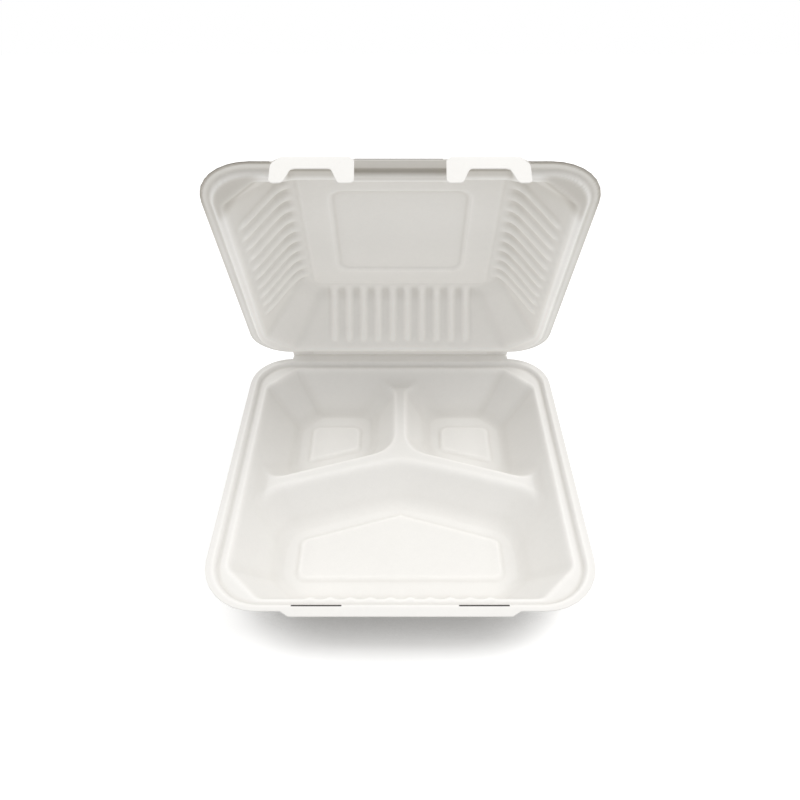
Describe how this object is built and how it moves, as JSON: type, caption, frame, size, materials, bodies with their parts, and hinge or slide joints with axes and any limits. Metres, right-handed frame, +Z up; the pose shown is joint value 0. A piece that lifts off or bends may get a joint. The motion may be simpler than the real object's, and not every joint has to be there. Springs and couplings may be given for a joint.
{
  "type": "moulded fibre clamshell container",
  "caption": "Square moulded fibre food container with a tray in three pockets and a hinged lid that closes over it with folded front tabs.",
  "frame": {"origin": "on the tray's resting face, on the middle line from side to side, between the heel and the pad at the point of the front pocket", "axes": "+Z up, away from the table; +X to the right seen from the front; the hinge crease is at the back, towards +Y, and the closing tabs are at the front, towards -Y"},
  "size_m": [0.23, 0.2482, 0.2505],
  "materials": {
    "tray_fibre": "matt moulded fibre",
    "lid_fibre": "matt moulded fibre"
  },
  "bodies": {
    "tray": {"tray": "tray_fibre"},
    "lid": {"lid": "lid_fibre"}
  },
  "joints": [
    {"name": "lid_hinge", "type": "hinge", "parent": "tray", "child": "lid", "pos_m": [0, 0.12668, 0.03815], "axis": [-1, 0, 0], "range_deg": [-65.3, 113.5]}
  ]
}
